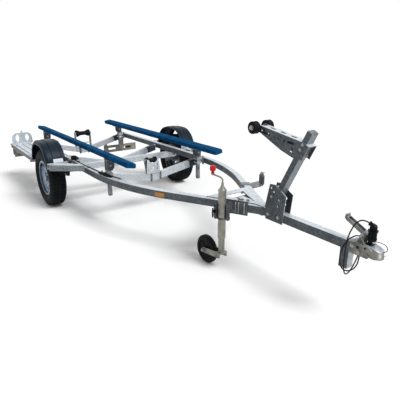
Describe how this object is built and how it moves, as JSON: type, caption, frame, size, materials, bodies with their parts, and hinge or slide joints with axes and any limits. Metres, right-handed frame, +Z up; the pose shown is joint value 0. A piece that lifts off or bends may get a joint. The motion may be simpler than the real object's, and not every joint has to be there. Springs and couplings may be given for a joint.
{
  "type": "single-axle boat trailer",
  "caption": "Galvanised single-axle boat trailer with converging rails, dipped cross members, carpeted bunks, keel rollers, leaning winch post and jockey wheel.",
  "frame": {"origin": "centre of the trailer's footprint on the ground, cable and plug left out", "axes": "+X forward to the coupling, +Y to the trailer's left, +Z up"},
  "size_m": [4.62, 1.77, 1.08],
  "materials": {
    "galvanised_frame": "hot-dip galvanised, mottled",
    "tyre_rubber": "moulded black rubber",
    "rim_steel": "silver paint on pressed steel",
    "hub_zinc": "zinc plated",
    "fender_plastic": "moulded black plastic",
    "bunk_carpet": "ribbed blue carpet over timber",
    "roller_rubber": "black rubber",
    "coupling_zinc": "zinc plated pressing",
    "black_plastic": "moulded black plastic",
    "cable_sheath": "black rubber sheath",
    "jockey_zinc": "yellowish zinc plating",
    "red_plastic": "red moulded grip",
    "lamp_zinc": "yellowish zinc plating",
    "lamp_lens": "black housing with red lens",
    "amber_lens": "amber reflector lens"
  },
  "bodies": {
    "frame": {"axle_hangers": "galvanised_frame", "axle_tube": "galvanised_frame", "bow_arm": "galvanised_frame", "bunk_left": "bunk_carpet", "bunk_posts": "galvanised_frame", "bunk_right": "bunk_carpet", "cable": "cable_sheath", "cable_gland": "black_plastic", "coupling_body": "coupling_zinc", "coupling_lever": "coupling_zinc", "cross_member_front": "galvanised_frame", "cross_member_middle": "galvanised_frame", "cross_member_rear": "galvanised_frame", "drawbar": "galvanised_frame", "drawbar_foot": "galvanised_frame", "fender_brackets": "galvanised_frame", "fender_left": "fender_plastic", "fender_right": "fender_plastic", "jockey_clamp": "galvanised_frame", "jockey_crank": "jockey_zinc", "jockey_knob": "red_plastic", "jockey_outer_tube": "jockey_zinc", "keel_bracket_front": "galvanised_frame", "keel_bracket_rear": "galvanised_frame", "lamp_bracket_right": "lamp_zinc", "lamp_guard": "galvanised_frame", "lamp_plate_left": "lamp_zinc", "nose_gusset": "galvanised_frame", "plug": "black_plastic", "plug_holder": "black_plastic", "post_clamps": "galvanised_frame", "rear_lamps": "lamp_lens", "side_rail_left": "galvanised_frame", "side_rail_right": "galvanised_frame", "side_reflectors": "amber_lens", "spare_carrier": "galvanised_frame", "stand_plates": "galvanised_frame", "step_outriggers": "galvanised_frame", "step_plank": "galvanised_frame", "trailing_arms": "galvanised_frame", "winch_post": "galvanised_frame", "winch_seat": "galvanised_frame"},
    "wheel_left": {"tyre_left": "tyre_rubber", "rim_left": "rim_steel", "hub_left": "hub_zinc"},
    "wheel_right": {"tyre_right": "tyre_rubber", "rim_right": "rim_steel", "hub_right": "hub_zinc"},
    "jockey_leg": {"jockey_inner_tube": "jockey_zinc"},
    "jockey_swivel": {"jockey_fork": "jockey_zinc"},
    "jockey_roller": {"jockey_wheel": "roller_rubber"},
    "rear_keel_roller": {"keel_roller_rear": "roller_rubber"},
    "front_keel_roller": {"keel_roller_front": "roller_rubber"},
    "left_bow_roller": {"bow_roller_left": "roller_rubber"},
    "right_bow_roller": {"bow_roller_right": "roller_rubber"}
  },
  "joints": [
    {"name": "wheel_left_spin", "type": "hinge", "parent": "frame", "child": "wheel_left", "pos_m": [-0.965, 0.785, 0.297], "axis": [0, 1, 0], "continuous": true},
    {"name": "wheel_right_spin", "type": "hinge", "parent": "frame", "child": "wheel_right", "pos_m": [-0.965, -0.785, 0.297], "axis": [0, 1, 0], "continuous": true},
    {"name": "jockey_slide", "type": "slide", "parent": "frame", "child": "jockey_leg", "axis": [0, 0, 1], "range_m": [-0.14, 0.09]},
    {"name": "jockey_turn", "type": "hinge", "parent": "jockey_leg", "child": "jockey_swivel", "pos_m": [1.245, -0.25, 0.15], "axis": [0, 0, 1], "continuous": true},
    {"name": "jockey_wheel_spin", "type": "hinge", "parent": "jockey_swivel", "child": "jockey_roller", "pos_m": [1.075, -0.25, 0.108], "axis": [0, 1, 0], "continuous": true},
    {"name": "rear_keel_roller_spin", "type": "hinge", "parent": "frame", "child": "rear_keel_roller", "pos_m": [-2.065, 0, 0.533], "axis": [0, 1, 0], "continuous": true},
    {"name": "front_keel_roller_spin", "type": "hinge", "parent": "frame", "child": "front_keel_roller", "pos_m": [-0.2, 0, 0.515], "axis": [0, 1, 0], "continuous": true},
    {"name": "bow_roller_left_spin", "type": "hinge", "parent": "frame", "child": "left_bow_roller", "pos_m": [1.335, 0.0615, 1.038], "axis": [0, 1, 0], "continuous": true},
    {"name": "bow_roller_right_spin", "type": "hinge", "parent": "frame", "child": "right_bow_roller", "pos_m": [1.335, -0.0615, 1.038], "axis": [0, 1, 0], "continuous": true}
  ]
}
